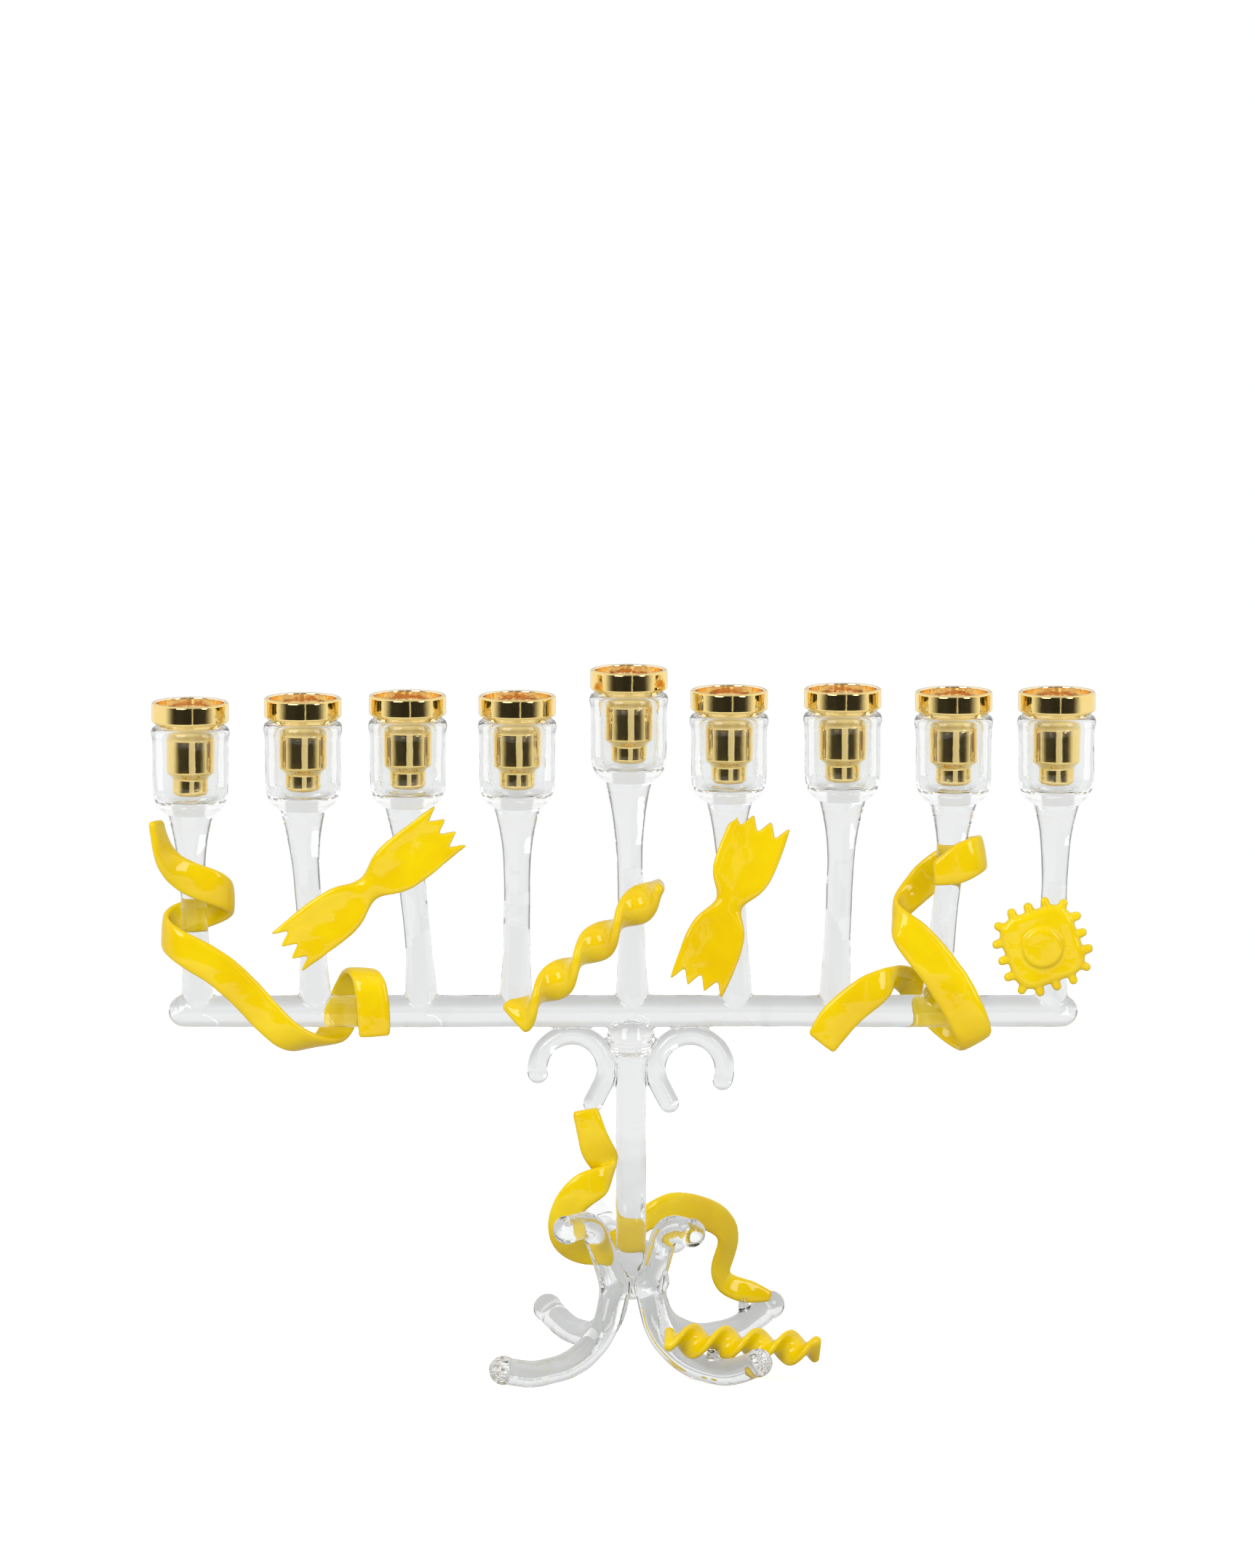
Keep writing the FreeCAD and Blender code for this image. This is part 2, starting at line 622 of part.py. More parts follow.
def main():
    crossbar = make_crossbar()
    export(crossbar, "crossbar")
    stems = []
    cups = []
    for number, (cup_x, foot_x, ring_top) in enumerate(ROW, 1):
        stem = make_stem(cup_x, foot_x, ring_top, crossbar)
        cup = make_cup(cup_x, ring_top)
        stems.append(stem)
        cups.append(cup)
        export(stem, "stem_%d" % number)
        export(cup, "glass_cup_%d" % number)
        export(make_insert(cup_x, ring_top), "candle_insert_%d" % number)
    trunk = make_trunk(crossbar)
    export(trunk, "trunk")
    collar = make_collar(trunk, crossbar)
    export(collar, "collar")
    export(make_scroll(-1, crossbar, trunk).cut(collar), "scroll_left")
    export(make_scroll(1, crossbar, trunk).cut(collar), "scroll_right")
    legs = []
    for name, (foot, curl_reach, curl_height) in LEGS.items():
        leg = make_leg(foot, curl_reach, curl_height, trunk)
        legs.append(leg)
        export(leg, name)

    # each pasta shape is coped to the clear glass that it is melted on to
    twist_axis = (Vector(-36.5, -8, 117), Vector(8.5, -8, 159))
    foot_axis = (Vector(13, -29, 14.4), Vector(59, -29, 11.2))
    left_axis = (Vector(-111.5, -5.0, 137.5), Vector(-58.5, -5.0, 179))
    right_axis = (Vector(21, -9.0, 126.5), Vector(42.5, -4.4, 181))
    pasta = {
        "ribbon_left": (ribbon(RIBBON_LEFT), [stems[0], crossbar]),
        "ribbon_right": (ribbon(RIBBON_RIGHT), [stems[7], stems[6], crossbar]),
        "base_ribbon": (ribbon(BASE_RIBBON), [trunk] + legs),
        "twist_centre": (make_twist(*twist_axis, *CENTRE_TWIST), [stems[3], stems[4], crossbar]),
        "base_twist": (make_twist(*foot_axis, *BASE_TWIST), [legs[1]]),
        "bow_tie_left": (make_bow_tie(*left_axis, WING_LEFT), [stems[1], stems[2], cups[2]]),
        "bow_tie_right": (make_bow_tie(*right_axis, WING_RIGHT), [stems[5]]),
        "ravioli": (make_ravioli(RAVIOLI_AT, RAVIOLI_TURN), [stems[8], crossbar]),
    }
    shapes = []
    for name, (shape, rods) in pasta.items():
        for rod in rods:
            shape = shape.cut(rod)
        shape = max(shape.Solids, key=lambda solid: solid.Volume)
        shapes.append(shape)
        export(shape, name)
    export(make_pegs(stems + legs + shapes), "pasta_pegs")


main()
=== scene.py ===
import bmesh
import bpy
import math
import numpy as np
from mathutils import Matrix, Vector
from mathutils.bvhtree import BVHTree


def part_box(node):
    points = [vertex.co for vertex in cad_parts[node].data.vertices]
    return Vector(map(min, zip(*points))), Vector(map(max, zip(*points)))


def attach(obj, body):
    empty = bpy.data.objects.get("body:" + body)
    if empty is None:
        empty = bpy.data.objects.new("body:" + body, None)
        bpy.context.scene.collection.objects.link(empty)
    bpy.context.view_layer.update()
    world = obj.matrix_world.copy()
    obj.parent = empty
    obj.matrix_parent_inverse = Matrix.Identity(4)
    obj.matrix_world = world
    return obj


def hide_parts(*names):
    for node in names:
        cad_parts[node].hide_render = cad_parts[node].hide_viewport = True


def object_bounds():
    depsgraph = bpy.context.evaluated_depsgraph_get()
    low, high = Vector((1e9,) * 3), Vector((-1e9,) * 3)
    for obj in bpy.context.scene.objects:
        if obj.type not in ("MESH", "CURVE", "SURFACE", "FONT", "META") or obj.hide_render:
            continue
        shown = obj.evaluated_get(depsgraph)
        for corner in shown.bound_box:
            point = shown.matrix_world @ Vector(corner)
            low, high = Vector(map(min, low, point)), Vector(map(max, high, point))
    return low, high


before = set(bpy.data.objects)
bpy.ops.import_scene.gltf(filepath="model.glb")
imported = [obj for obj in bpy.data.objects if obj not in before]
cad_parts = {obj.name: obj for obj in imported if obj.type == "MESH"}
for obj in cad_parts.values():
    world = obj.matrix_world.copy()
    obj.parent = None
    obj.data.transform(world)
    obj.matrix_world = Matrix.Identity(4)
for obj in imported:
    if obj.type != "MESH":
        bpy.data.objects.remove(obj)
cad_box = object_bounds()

# A nine-light menorah: clear glass rods and cups melted into one body, opaque yellow glass
# pasta shapes melted on to it, and loose gold-plated candle inserts. +Z is up. Sizes of the
# object are in millimetres and go through MM; the studio around it is in metres.

MM = 0.001

LIGHTS = range(1, 10)
STEMS = ["stem_%d" % n for n in LIGHTS]
LEGS = ["leg_front_left", "leg_front_right", "leg_back_left", "leg_back_right"]
CLEAR = ["crossbar", "trunk", "collar", "scroll_left", "scroll_right", "pasta_pegs"] + STEMS + LEGS
PASTA = ["ribbon_left", "ribbon_right", "base_ribbon", "twist_centre", "base_twist",
         "bow_tie_left", "bow_tie_right", "ravioli"]

# how each kind of glass is melted: remesh size, rounds of smoothing, ripple size and depth
CLEAR_VOXEL = 0.5 * MM
CLEAR_ROUNDS = 10
CLEAR_RIPPLE = (14 * MM, 0.5 * MM)
PASTA_VOXEL = 0.4 * MM
PASTA_ROUNDS = 6
PASTA_RIPPLE = (9 * MM, 0.4 * MM)
PASTA_SWELL = 0.12 * MM

# metal insert: radii, and heights measured down from the top of the ring
INSERT_PROFILE = [
    (5.1, -29.6), (5.1, -23.6),         # bore of the narrow tube
    (7.1, -22.0), (7.1, -6.6),          # bore of the barrel
    (10.95, -6.6), (10.95, -0.3),       # bore of the ring
    (11.25, 0.0), (12.1, 0.0),          # rim
    (12.5, -0.4), (12.5, -6.1),         # outside of the ring
    (10.3, -7.8), (8.5, -7.8),          # underside of the ring
    (8.5, -10.2), (7.75, -11.2),        # neck
    (7.75, -22.6), (5.75, -24.5),       # barrel
    (5.75, -29.5), (4.95, -30.3),       # narrow tube
]
INSERT_ROUND = 0.4
# the inside faces of ring and barrel get a paler copy of the same gold plate: painted light,
# standing in for how light falls inside them
RING_INSIDE_PAINTED_LIGHT = (11.2, 6.9)       # what counts as the inside: radius, depth under the rim
BARREL_INSIDE_PAINTED_LIGHT = (7.4, 22.1)

# glass cup: control points of its wall, measured the same way
CUP_PROFILE = [
    (0.0, -32.4), (6.6, -32.4), (9.0, -30.6),           # floor
    (9.05, -20.0), (9.05, -10.0), (9.3, -8.0),          # inside
    (12.2, -7.9), (12.9, -10.2), (12.2, -12.4),         # rolled rim
    (12.2, -20.0), (12.2, -29.6),                       # outside
    (11.3, -33.4), (9.4, -35.4), (7.9, -36.5),          # rounded foot
]
CUP_SEAM = (7.5, -36.4)         # edge of the disc where cup and stem are one glass
SEAM_REACH = 0.02 * MM          # faces this close above the cup's bottom belong to that disc
STEM_TOP_R = 7.6 * MM
PLUG_HEIGHT = 5 * MM
PLUG_SIDES = 64

LATHE_SIDES = 112
CUP_SUPPORT = 0.3               # how near the end of a long run its extra points are
INSERT_SUPPORT = 0.25


# ---- mesh helpers -------------------------------------------------------------------
def new_object(name, mesh):
    obj = bpy.data.objects.new(name, mesh)
    bpy.context.scene.collection.objects.link(obj)
    return obj


def applied(obj):
    """Replace the mesh of obj by the result of its modifiers."""
    graph = bpy.context.evaluated_depsgraph_get()
    mesh = bpy.data.meshes.new_from_object(obj.evaluated_get(graph))
    obj.modifiers.clear()
    obj.data = mesh
    return obj


def shade_smooth(mesh):
    mesh.polygons.foreach_set("use_smooth", np.ones(len(mesh.polygons), bool))


def remesh(obj, voxel):
    step = obj.modifiers.new("melt", "REMESH")
    step.mode = "VOXEL"
    step.voxel_size = voxel


def soften(obj, rounds, factor=0.5):
    step = obj.modifiers.new("soften", "SMOOTH")
    step.factor = factor
    step.iterations = rounds


def ripple(obj, size, depth):
    """Push the surface in and out by a soft cloud pattern of that size."""
    pattern = bpy.data.textures.new("ripple", "CLOUDS")
    pattern.noise_scale = size
    pattern.noise_depth = 1
    step = obj.modifiers.new("ripple", "DISPLACE")
    step.texture = pattern
    step.texture_coords = "LOCAL"
    step.mid_level = 0.5
    step.strength = depth


def swell(obj, amount):
    """Move the whole surface outward by amount."""
    step = obj.modifiers.new("swell", "DISPLACE")
    step.mid_level = 0.0
    step.strength = amount


# ---- turned shapes ------------------------------------------------------------------
def rounded_profile(points, radius):
    """The same profile with every inner corner cut to a small three-point round."""
    result = [points[0]]
    for before, corner, after in zip(points, points[1:], points[2:]):
        here = Vector(corner)
        back = Vector(before) - here
        ahead = Vector(after) - here
        reach = min(radius, 0.4 * back.length, 0.4 * ahead.length)
        entry = here + back.normalized() * reach
        leave = here + ahead.normalized() * reach
        middle = 0.25 * (entry + leave) + 0.5 * here
        result += [tuple(entry), tuple(middle), tuple(leave)]
    result.append(points[-1])
    return result


def supported(points, reach):
    """The same profile with a point near both ends of each long run, so that it shades straight."""
    result = [points[0]]
    for before, after in zip(points, points[1:]):
        run = Vector(after) - Vector(before)
        if run.length > 3 * reach:
            step = run.normalized() * reach
            result += [tuple(Vector(before) + step), tuple(Vector(after) - step)]
        result.append(after)
    return result


def smoothed(points, rounds):
    """Cut the corners of a chain of points again and again; its two ends stay."""
    for _ in range(rounds):
        result = [points[0]]
        for (r0, z0), (r1, z1) in zip(points, points[1:]):
            result.append((0.75 * r0 + 0.25 * r1, 0.75 * z0 + 0.25 * z1))
            result.append((0.25 * r0 + 0.75 * r1, 0.25 * z0 + 0.75 * z1))
        result.append(points[-1])
        points = result
    return points


def lathe(name, profile, centre, sides):
    """A closed turned solid; both ends of the profile are joined to the axis by a flat disc."""
    count = len(profile)
    verts = []
    faces = []
    for side in range(sides):
        angle = 2 * math.pi * side / sides
        for r, z in profile:
            x = centre.x + r * MM * math.cos(angle)
            y = centre.y + r * MM * math.sin(angle)
            verts.append((x, y, centre.z + z * MM))
    for side in range(sides):
        a = side * count
        b = ((side + 1) % sides) * count
        for i in range(count - 1):
            faces.append((a + i, a + i + 1, b + i + 1, b + i))
    first = len(verts)
    verts.append((centre.x, centre.y, centre.z + profile[0][1] * MM))
    verts.append((centre.x, centre.y, centre.z + profile[-1][1] * MM))
    for side in range(sides):
        a = side * count
        b = ((side + 1) % sides) * count
        faces.append((first, a, b))
        faces.append((first + 1, b + count - 1, a + count - 1))
    mesh = bpy.data.meshes.new(name)
    mesh.from_pydata(verts, [], faces)
    work = bmesh.new()
    work.from_mesh(mesh)
    bmesh.ops.recalc_face_normals(work, faces=work.faces)
    work.to_mesh(mesh)
    work.free()
    shade_smooth(mesh)
    return new_object(name, mesh)


# ---- materials ----------------------------------------------------------------------
def new_material(name):
    made = bpy.data.materials.new(name)
    made.use_nodes = True
    tree = made.node_tree
    tree.nodes.clear()
    output = tree.nodes.new("ShaderNodeOutputMaterial")
    return made, tree, output


def add(tree, kind, **values):
    """A new node; each value goes to the input socket of that name."""
    node = tree.nodes.new(kind)
    for key, value in values.items():
        node.inputs[key.replace("_", " ")].default_value = value
    return node


def noise_height(tree, scale, detail):
    place = tree.nodes.new("ShaderNodeTexCoord")
    pattern = add(tree, "ShaderNodeTexNoise", Scale=scale, Detail=detail, Roughness=0.5)
    tree.links.new(place.outputs["Object"], pattern.inputs["Vector"])
    return pattern.outputs["Fac"]


def add_bump(tree, height, distance, strength):
    bump = add(tree, "ShaderNodeBump", Distance=distance, Strength=strength)
    tree.links.new(height, bump.inputs["Height"])
    return bump.outputs["Normal"]


def clear_glass():
    made, tree, output = new_material("clear_glass")
    glass = add(tree, "ShaderNodeBsdfPrincipled", Roughness=0.0, IOR=1.47)
    glass.inputs["Base Color"].default_value = (0.972, 0.984, 0.984, 1)
    glass.inputs["Transmission Weight"].default_value = 1.0
    wavy = add_bump(tree, noise_height(tree, 130.0, 2.0), 0.0004, 0.35)
    tree.links.new(wavy, glass.inputs["Normal"])
    through = tree.nodes.new("ShaderNodeBsdfTransparent")
    through.inputs["Color"].default_value = (0.93, 0.945, 0.945, 1)
    path = tree.nodes.new("ShaderNodeLightPath")
    mix = tree.nodes.new("ShaderNodeMixShader")
    tree.links.new(path.outputs["Is Shadow Ray"], mix.inputs["Fac"])
    tree.links.new(glass.outputs["BSDF"], mix.inputs[1])
    tree.links.new(through.outputs["BSDF"], mix.inputs[2])
    tree.links.new(mix.outputs["Shader"], output.inputs["Surface"])
    return made


def seam():
    """The face between two pieces of glass that are melted together: nothing shows there."""
    made, tree, output = new_material("melted_seam")
    through = tree.nodes.new("ShaderNodeBsdfTransparent")
    tree.links.new(through.outputs["BSDF"], output.inputs["Surface"])
    return made


def yellow_glass():
    made, tree, output = new_material("yellow_glass")
    body = add(tree, "ShaderNodeBsdfPrincipled", IOR=1.45)
    ramp = tree.nodes.new("ShaderNodeValToRGB")
    ramp.color_ramp.elements[0].position = 0.3
    ramp.color_ramp.elements[0].color = (0.66, 0.43, 0.001, 1)
    ramp.color_ramp.elements[1].position = 0.7
    ramp.color_ramp.elements[1].color = (0.74, 0.54, 0.002, 1)
    tree.links.new(noise_height(tree, 60.0, 5.0), ramp.inputs["Fac"])
    tree.links.new(ramp.outputs["Color"], body.inputs["Base Color"])
    rough = tree.nodes.new("ShaderNodeMapRange")
    rough.inputs["To Min"].default_value = 0.04
    rough.inputs["To Max"].default_value = 0.11
    tree.links.new(noise_height(tree, 420.0, 3.0), rough.inputs["Value"])
    tree.links.new(rough.outputs["Result"], body.inputs["Roughness"])
    wavy = add_bump(tree, noise_height(tree, 240.0, 2.0), 0.0004, 0.3)
    tree.links.new(wavy, body.inputs["Normal"])
    tree.links.new(body.outputs["BSDF"], output.inputs["Surface"])
    return made


def gold_plate(name, colour):
    made, tree, output = new_material(name)
    gold = add(tree, "ShaderNodeBsdfPrincipled", Metallic=1.0)
    gold.inputs["Base Color"].default_value = colour
    rough = tree.nodes.new("ShaderNodeMapRange")
    rough.inputs["To Min"].default_value = 0.03
    rough.inputs["To Max"].default_value = 0.14
    tree.links.new(noise_height(tree, 900.0, 4.0), rough.inputs["Value"])
    tree.links.new(rough.outputs["Result"], gold.inputs["Roughness"])
    wavy = add_bump(tree, noise_height(tree, 300.0, 3.0), 0.0002, 0.25)
    tree.links.new(wavy, gold.inputs["Normal"])
    tree.links.new(gold.outputs["BSDF"], output.inputs["Surface"])
    return made


GLASS = clear_glass()
SEAM = seam()
YELLOW = yellow_glass()
GOLD = gold_plate("gold_plate", (0.94, 0.71, 0.27, 1))
# a paler, lighter copy of the same gold plate for the inside of ring and barrel: painted light that
# offsets the deep orange its own reflections give it there
GOLD_INSIDE_PAINTED_LIGHT = gold_plate("gold_plate_inside_painted_light", (0.98, 0.86, 0.62, 1))


# ---- clear glass --------------------------------------------------------------------
def rows_of_three(items, key):
    """That property of each item of a mesh, as rows of three numbers."""
    values = np.zeros(len(items) * 3)
    items.foreach_get(key, values)
    return values.reshape(-1, 3)


def joined_copy(names):
    """A mesh of copies of these CAD nodes, and for each of its faces the number of its node."""
    merged = bmesh.new()
    owners = []
    for number, name in enumerate(names):
        merged.from_mesh(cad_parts[name].data)
        owners += [number] * (len(merged.faces) - len(owners))
    return merged, owners


def cut_out(fused, faces, name, top):
    """A closed piece of these faces of the fused glass, up to the height top; its cut edges are
    capped by seam faces."""
    corners = np.array([fused.polygons[f].vertices[:] for f in faces])
    used, renumbered = np.unique(corners, return_inverse=True)
    points = rows_of_three(fused.vertices, "co")[used]
    normals = rows_of_three(fused.vertices, "normal")[used]
    mesh = bpy.data.meshes.new(name)
    mesh.from_pydata(points.tolist(), [], renumbered.reshape(corners.shape).tolist())
    work = bmesh.new()
    work.from_mesh(mesh)
    fused_normal = work.verts.layers.float_vector.new("fused_normal")
    for vertex, normal in zip(work.verts, normals):
        vertex[fused_normal] = normal
    everything = work.verts[:] + work.edges[:] + work.faces[:]
    bmesh.ops.bisect_plane(work, geom=everything, plane_co=(0, 0, top), plane_no=(0, 0, 1),
                           clear_outer=True)
    rims = [edge for edge in work.edges if edge.is_boundary]
    caps = bmesh.ops.holes_fill(work, edges=rims)["faces"]
    for cap in caps:
        cap.material_index = 1
    bmesh.ops.triangulate(work, faces=caps)
    normals = [vertex[fused_normal].normalized() for vertex in work.verts]
    work.verts.layers.float_vector.remove(fused_normal)
    work.to_mesh(mesh)
    work.free()
    shade_smooth(mesh)
    mesh.normals_split_custom_set_from_vertices(normals)
    mesh.materials.append(GLASS)
    mesh.materials.append(SEAM)
    return new_object(name, mesh)


def make_clear_glass():
    merged, owners = joined_copy(CLEAR)
    cad_faces = BVHTree.FromBMesh(merged)
    # a plug on top of each stem stands in for its cup, so that the stem isn't rounded off there
    cup_bottoms = {}
    for number in LIGHTS:
        low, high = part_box("glass_cup_%d" % number)
        cup_bottoms["stem_%d" % number] = low.z
        middle = ((low.x + high.x) / 2, (low.y + high.y) / 2, low.z + PLUG_HEIGHT / 2)
        bmesh.ops.create_cone(merged, cap_ends=True, segments=PLUG_SIDES, radius1=STEM_TOP_R,
                              radius2=STEM_TOP_R, depth=PLUG_HEIGHT,
                              matrix=Matrix.Translation(middle))
    mesh = bpy.data.meshes.new("clear_source")
    merged.to_mesh(mesh)
    merged.free()
    body = new_object("clear_source", mesh)
    remesh(body, CLEAR_VOXEL)
    soften(body, CLEAR_ROUNDS)
    ripple(body, *CLEAR_RIPPLE)
    applied(body)
    fused = body.data
    centres = rows_of_three(fused.polygons, "center").tolist()
    nearest = np.array([owners[cad_faces.find_nearest(Vector(c))[2]] for c in centres])
    for number, name in enumerate(CLEAR):
        top = cup_bottoms.get(name, cad_box[1].z)
        piece = cut_out(fused, np.flatnonzero(nearest == number), name + "_melted", top)
        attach(piece, "glass")
        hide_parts(name)
    bpy.data.objects.remove(body)


def make_cup(number):
    node = "glass_cup_%d" % number
    low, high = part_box("candle_insert_%d" % number)
    top = Vector(((low.x + high.x) / 2, (low.y + high.y) / 2, high.z))
    profile = supported(smoothed(CUP_PROFILE, 3) + [CUP_SEAM], CUP_SUPPORT)
    piece = lathe(node + "_turned", profile, top, LATHE_SIDES)
    piece.data.materials.append(GLASS)
    piece.data.materials.append(SEAM)
    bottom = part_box(node)[0].z
    for face in piece.data.polygons:
        from_axis = math.hypot(face.center.x - top.x, face.center.y - top.y)
        if face.center.z < bottom + SEAM_REACH and from_axis < CUP_SEAM[0] * MM:
            face.material_index = 1
    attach(piece, "glass")
    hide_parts(node)


# ---- yellow glass -------------------------------------------------------------------
def make_pasta(name):
    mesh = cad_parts[name].data.copy()
    mesh.materials.clear()
    mesh.materials.append(YELLOW)
    piece = new_object(name + "_melted", mesh)
    remesh(piece, PASTA_VOXEL)
    soften(piece, PASTA_ROUNDS)
    swell(piece, PASTA_SWELL)
    ripple(piece, *PASTA_RIPPLE)
    applied(piece)
    shade_smooth(piece.data)
    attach(piece, "glass")
    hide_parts(name)


# ---- metal inserts ------------------------------------------------------------------
def make_insert(number):
    node = "candle_insert_%d" % number
    low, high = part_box(node)
    top = Vector(((low.x + high.x) / 2, (low.y + high.y) / 2, high.z))
    profile = supported(rounded_profile(INSERT_PROFILE, INSERT_ROUND), INSERT_SUPPORT)
    piece = lathe("gold_insert_%d" % number, profile, top, LATHE_SIDES)
    piece.data.materials.append(GOLD)
    piece.data.materials.append(GOLD_INSIDE_PAINTED_LIGHT)
    for face in piece.data.polygons:
        from_axis = math.hypot(face.center.x - top.x, face.center.y - top.y)
        depth = top.z - face.center.z
        # faces inside the ring and barrel take the paler gold copy, which is painted light
        for radius, reach in (RING_INSIDE_PAINTED_LIGHT, BARREL_INSIDE_PAINTED_LIGHT):
            if from_axis < radius * MM and depth < reach * MM:
                face.material_index = 1
    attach(piece, "insert_%d" % number)
    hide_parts(node)


# ---- studio -------------------------------------------------------------------------
VIEW_ELEVATION = 8.95    # degrees
VIEW_DISTANCE = 3.5
VIEW_HEIGHT = 0.5075     # height of what the camera takes in, at the object
VIEW_RIGHT = 1.5 * MM    # where it looks: right of the middle, and under the top
VIEW_DOWN = 37.6 * MM
SENSOR = 36.0
FLOOR_R = 0.8
FLOOR_SIDES = 96
FLOOR_WHITE = 0.97
FLOOR_GLOW = 0.2
SUN_ANGLE = 50           # degrees
AROUND = 0.72            # the room's strength for diffuse light
GAP_AT = 0.16            # the gap of light in the dark room: place, half width, extra in a cup
GAP_HALF = 0.03
GAP_EXTRA = 0.2


def make_camera():
    low, high = cad_box
    elevation = math.radians(VIEW_ELEVATION)
    target = Vector(((low.x + high.x) / 2 + VIEW_RIGHT, 0, high.z - VIEW_DOWN))
    back = Vector((0, -math.cos(elevation), math.sin(elevation)))
    data = bpy.data.cameras.new("camera")
    data.sensor_width = SENSOR
    data.lens = SENSOR * VIEW_DISTANCE / VIEW_HEIGHT
    data.clip_end = 100
    camera = bpy.data.objects.new("camera", data)
    bpy.context.scene.collection.objects.link(camera)
    camera.location = target + back * VIEW_DISTANCE
    camera.rotation_euler = (math.pi / 2 - elevation, 0, 0)
    bpy.context.scene.camera = camera


def math_node(tree, operation, *values):
    node = tree.nodes.new("ShaderNodeMath")
    node.operation = operation
    for place, value in enumerate(values):
        if isinstance(value, float):
            node.inputs[place].default_value = value
        else:
            tree.links.new(value, node.inputs[place])
    return node.outputs[0]


def step_between(tree, value, start, end):
    """A smooth step: start and end each say what value is there and what comes out."""
    node = tree.nodes.new("ShaderNodeMapRange")
    node.interpolation_type = "SMOOTHSTEP"
    for socket, place, result in (("Min", *start), ("Max", *end)):
        node.inputs["From " + socket].default_value = place
        node.inputs["To " + socket].default_value = result
    tree.links.new(value, node.inputs["Value"])
    return node.outputs["Result"]


def make_floor():
    """A pale round table top, wider than what the camera takes in."""
    mesh = bpy.data.meshes.new("floor")
    turns = [2 * math.pi * side / FLOOR_SIDES for side in range(FLOOR_SIDES)]
    rim = [(FLOOR_R * math.cos(turn), FLOOR_R * math.sin(turn), 0) for turn in turns]
    mesh.from_pydata(rim, [], [list(range(FLOOR_SIDES))])
    floor = new_object("floor", mesh)
    made, tree, output = new_material("pale_floor")
    # seen straight it is white; to the glass, mirrors and light it is grey, with painted shade that
    # darkens it toward the middle, under the object
    place = tree.nodes.new("ShaderNodeTexCoord")
    distance = tree.nodes.new("ShaderNodeVectorMath")
    distance.operation = "LENGTH"
    tree.links.new(place.outputs["Object"], distance.inputs[0])
    painted_shade = step_between(tree, distance.outputs["Value"], (0.1, 0.5), (0.45, 0.74))
    path = tree.nodes.new("ShaderNodeLightPath")
    tone = tree.nodes.new("ShaderNodeMix")
    tree.links.new(path.outputs["Is Camera Ray"], tone.inputs["Factor"])
    tree.links.new(painted_shade, tone.inputs["A"])
    tone.inputs["B"].default_value = FLOOR_WHITE
    shader = add(tree, "ShaderNodeBsdfDiffuse")
    tree.links.new(tone.outputs["Result"], shader.inputs["Color"])
    glow = add(tree, "ShaderNodeEmission")
    glow_seen = math_node(tree, "MULTIPLY", path.outputs["Is Camera Ray"], FLOOR_GLOW)
    tree.links.new(glow_seen, glow.inputs["Strength"])
    both = tree.nodes.new("ShaderNodeAddShader")
    tree.links.new(shader.outputs["BSDF"], both.inputs[0])
    tree.links.new(glow.outputs["Emission"], both.inputs[1])
    tree.links.new(both.outputs["Shader"], output.inputs["Surface"])
    mesh.materials.append(made)


def aimed(name, data, place):
    """A light at place, turned to the middle of the object."""
    light = bpy.data.objects.new(name, data)
    bpy.context.scene.collection.objects.link(light)
    light.location = place
    aim = Vector((0, 0, cad_box[1].z / 2)) - Vector(place)
    light.rotation_euler = aim.to_track_quat("-Z", "Y").to_euler()
    return light


def softbox(name, place, size, power):
    data = bpy.data.lights.new(name, "AREA")
    data.shape = "RECTANGLE"
    data.size, data.size_y = size
    data.energy = power
    return aimed(name, data, place)


def make_sun(name, place, strength):
    """Broad light that shows neither in reflections nor through the glass."""
    data = bpy.data.lights.new(name, "SUN")
    data.energy = strength
    data.angle = math.radians(SUN_ANGLE)
    sun = aimed(name, data, place)
    sun.visible_glossy = False
    sun.visible_transmission = False


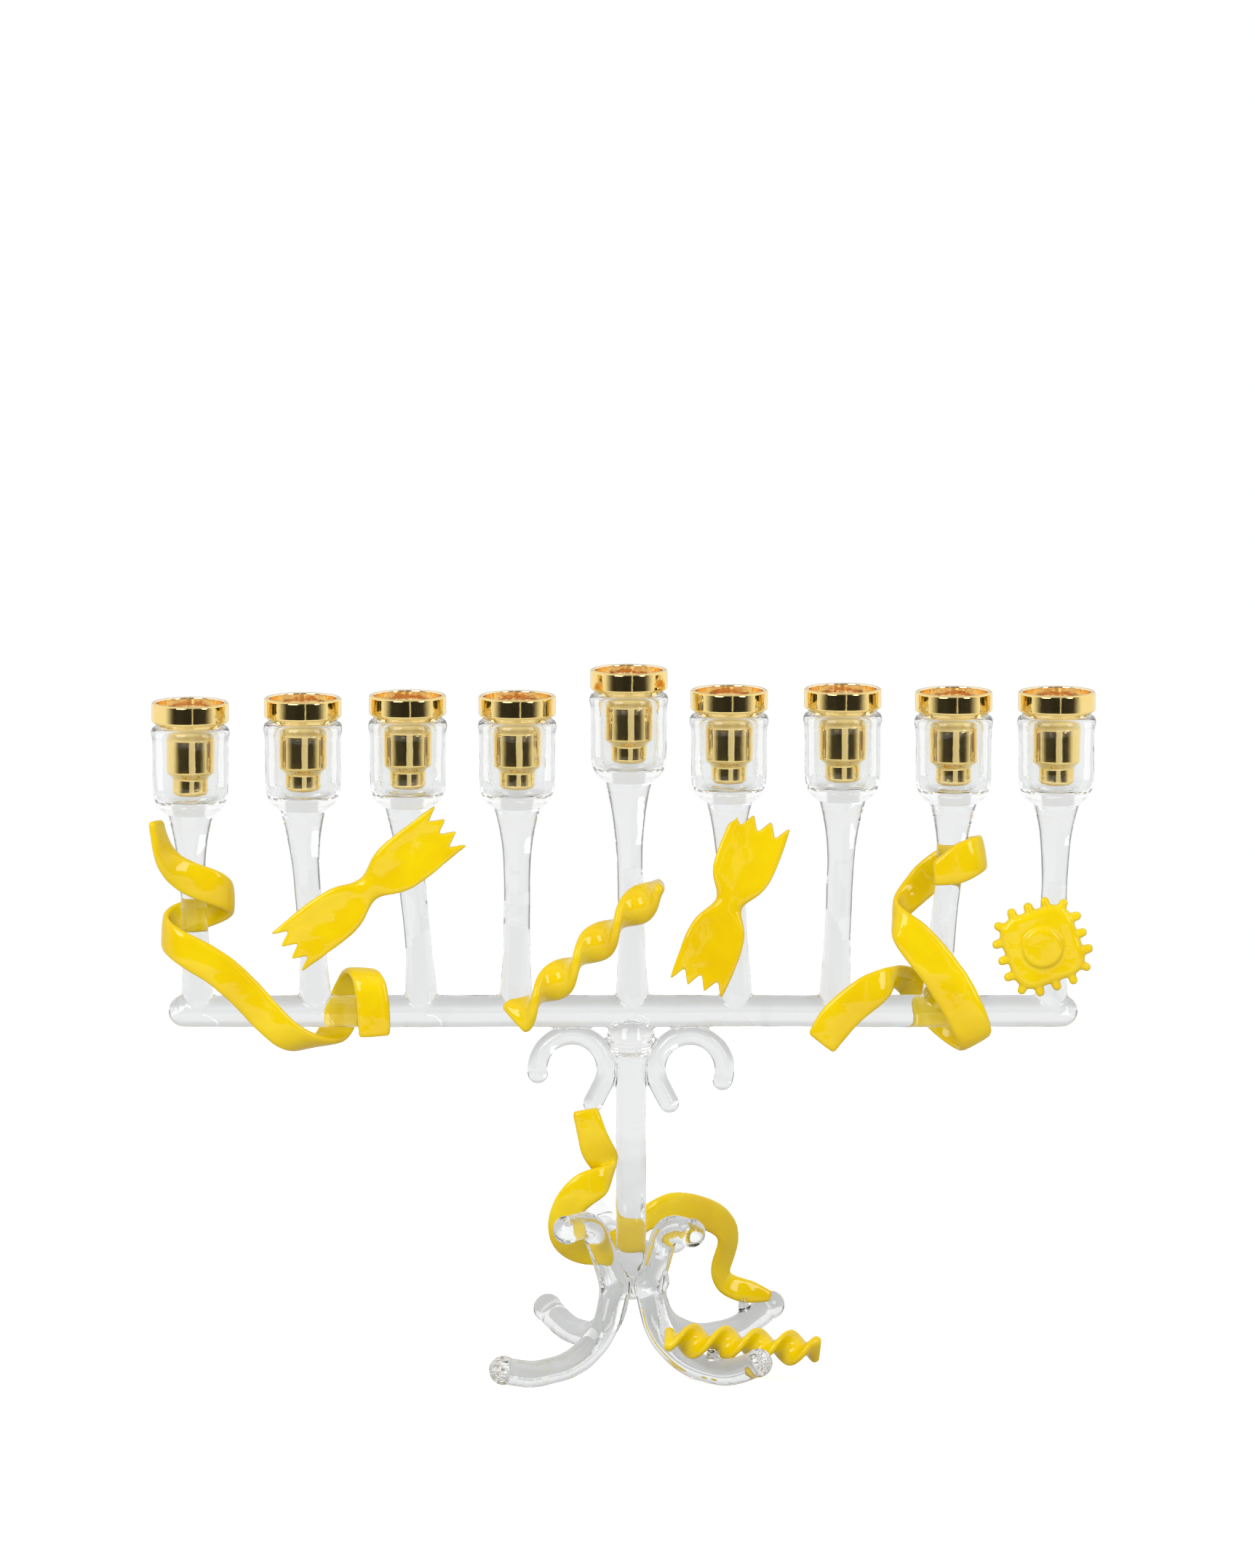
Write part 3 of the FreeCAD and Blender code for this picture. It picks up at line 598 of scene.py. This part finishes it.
def make_world():
    world = bpy.data.worlds.new("studio")
    world.use_nodes = True
    tree = world.node_tree
    tree.nodes.clear()
    place = tree.nodes.new("ShaderNodeTexCoord")
    parts = tree.nodes.new("ShaderNodeSeparateXYZ")
    tree.links.new(place.outputs["Generated"], parts.inputs["Vector"])
    side = math_node(tree, "ABSOLUTE", parts.outputs["X"])
    path = tree.nodes.new("ShaderNodeLightPath")
    # what glass lets through: pale in the middle, dark at the sides, a little greyer above
    sides = step_between(tree, side, (0.55, 0.87), (0.9, 0.66))
    rim = step_between(tree, side, (0.7, 1.0), (0.9, 0.1))
    band = step_between(tree, parts.outputs["Z"], (0.2, 1.0), (0.5, 0.8))
    through = math_node(tree, "MULTIPLY", math_node(tree, "MULTIPLY", sides, rim), band)
    # what polished surfaces reflect: dark in front with a gap of light in it, which is wider for
    # what is inside a cup, bright behind, some light overhead, and all a bit dimmer in the middle
    room = step_between(tree, parts.outputs["Y"], (-0.7, 0.03), (-0.15, 1.0))
    overhead = step_between(tree, parts.outputs["Z"], (0.45, 0.0), (0.6, 0.4))
    in_cup = math_node(tree, "MINIMUM", path.outputs["Transmission Depth"], 1.0)
    gap_half = math_node(tree, "MULTIPLY_ADD", in_cup, GAP_EXTRA, GAP_HALF)
    from_gap = math_node(tree, "ABSOLUTE", math_node(tree, "SUBTRACT", parts.outputs["X"], GAP_AT))
    gap = math_node(tree, "LESS_THAN", from_gap, gap_half)
    dimmer = step_between(tree, side, (0.3, 0.75), (0.36, 1.0))
    mirror = math_node(tree, "MAXIMUM", math_node(tree, "MAXIMUM", room, gap), overhead)
    mirror = math_node(tree, "MULTIPLY", mirror, dimmer)
    reflected = math_node(tree, "MINIMUM", path.outputs["Glossy Depth"], 1.0)
    choices = ((path.outputs["Is Transmission Ray"], through), (reflected, mirror),
               (path.outputs["Is Diffuse Ray"], AROUND))
    strength = 1.0
    for choice, value in choices:
        share = tree.nodes.new("ShaderNodeMix")
        tree.links.new(choice, share.inputs["Factor"])
        for socket, amount in (("A", strength), ("B", value)):
            if isinstance(amount, float):
                share.inputs[socket].default_value = amount
            else:
                tree.links.new(amount, share.inputs[socket])
        strength = share.outputs["Result"]
    background = tree.nodes.new("ShaderNodeBackground")
    background.inputs["Color"].default_value = (1, 1, 1, 1)
    tree.links.new(strength, background.inputs["Strength"])
    output = tree.nodes.new("ShaderNodeOutputWorld")
    tree.links.new(background.outputs["Background"], output.inputs["Surface"])
    bpy.context.scene.world = world


make_clear_glass()
for pasta_name in PASTA:
    make_pasta(pasta_name)
for light_number in LIGHTS:
    make_cup(light_number)
    make_insert(light_number)
make_camera()
make_floor()
softbox("key", place=(-0.8, -1.3, 0.85), size=(0.7, 1.0), power=11.0)
softbox("fill", place=(1.0, -1.1, 0.7), size=(0.4, 1.0), power=6.0)
make_sun("front_sun", place=(-0.5, -0.9, 1.5), strength=0.75)
make_sun("back_sun", place=(0.4, 1.2, 0.8), strength=0.6)
make_world()
studio = bpy.context.scene
studio.view_settings.view_transform = "Standard"
studio.cycles.max_bounces = 24
studio.cycles.glossy_bounces = 16
studio.cycles.transmission_bounces = 24
studio.cycles.transparent_max_bounces = 24
